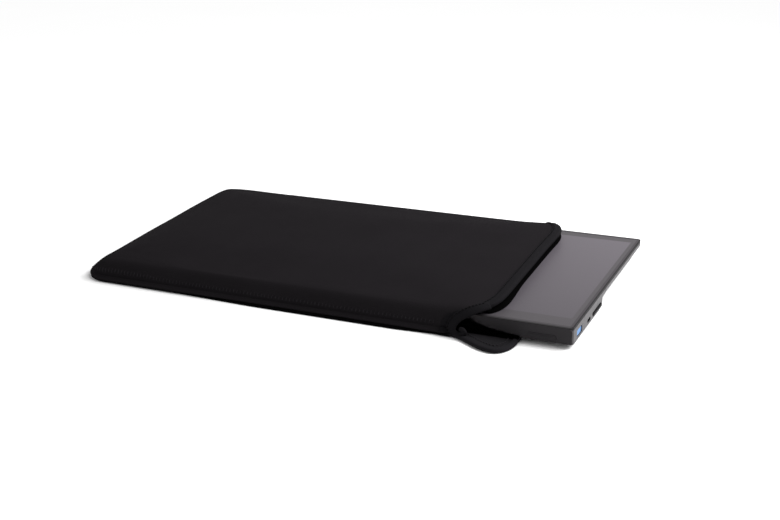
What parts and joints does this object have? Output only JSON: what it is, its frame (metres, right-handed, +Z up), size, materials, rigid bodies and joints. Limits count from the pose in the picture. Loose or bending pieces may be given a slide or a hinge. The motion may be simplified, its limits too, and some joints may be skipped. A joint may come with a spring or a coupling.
{
  "type": "portable monitor with sleeve",
  "caption": "Slim flat portable monitor with side ports and a rocker key, sliding in and out of a soft padded slip-on sleeve with a bound, lipped mouth.",
  "frame": {"origin": "on the surface it lies on, under the centre of the sleeve's length and width", "axes": "+X from the sleeve's closed end out of its mouth, +Y from the monitor's deep front edge to its thin back edge, +Z up"},
  "size_m": [0.4637, 0.2665, 0.0267],
  "materials": {
    "cover_metal": "satin light grey",
    "trim_plastic": "satin",
    "bar_plastic": "satin dark",
    "screen_surface": "matte anti-glare",
    "black_print": "matte",
    "lcd_glass": "dark",
    "white_film": "matte",
    "clear_plastic": "clear",
    "lamp_strip": "matte",
    "plain_steel": "bright",
    "green_board": "satin",
    "flat_cable": "satin",
    "chip_black": "matte",
    "ivory_plastic": "matte",
    "port_metal": "bright",
    "blue_plastic": "blue",
    "black_plastic": "satin",
    "light_lens": "frosted",
    "foot_rubber": "matte",
    "screw_steel": "bright",
    "sleeve_fabric": "smooth knit over foam",
    "binding_tape": "knitted tape",
    "seam_thread": "thread"
  },
  "bodies": {
    "sleeve": {"sleeve_top_panel": "sleeve_fabric", "sleeve_bottom_panel": "sleeve_fabric", "mouth_binding_top": "binding_tape", "mouth_binding_bottom": "binding_tape", "seam_stitches": "seam_thread"},
    "monitor": {"rear_cover": "cover_metal", "front_frame": "trim_plastic", "front_bar": "bar_plastic", "screen_film": "screen_surface", "border_mask": "black_print", "lcd_cell": "lcd_glass", "diffuser_sheet": "white_film", "light_guide": "clear_plastic", "reflector_sheet": "white_film", "light_bar": "lamp_strip", "panel_tray": "plain_steel", "driver_board": "green_board", "display_cable": "flat_cable", "main_board": "green_board", "board_chips": "chip_black", "board_shield": "plain_steel", "cable_socket": "ivory_plastic", "usb_a_shell": "port_metal", "usb_a_tongue": "blue_plastic", "usb_c_shell": "port_metal", "usb_c_tongue": "black_plastic", "status_light": "light_lens", "key_board": "green_board", "key_switches": "chip_black", "key_pin": "plain_steel", "foot_right": "foot_rubber", "foot_left": "foot_rubber", "cover_screws": "screw_steel", "board_screws": "screw_steel"},
    "rocker": {"rocker_key": "black_plastic"}
  },
  "joints": [
    {"name": "monitor_slide", "type": "slide", "parent": "sleeve", "child": "monitor", "axis": [1, 0, 0], "range_m": [-0.069, 0.32]},
    {"name": "rocker_tilt", "type": "hinge", "parent": "monitor", "child": "rocker", "pos_m": [0.2712, -0.0425, 0.0067], "axis": [0, 0, 1], "range_deg": [-2, 2], "stiffness_Nm_per_rad": 0.05}
  ]
}
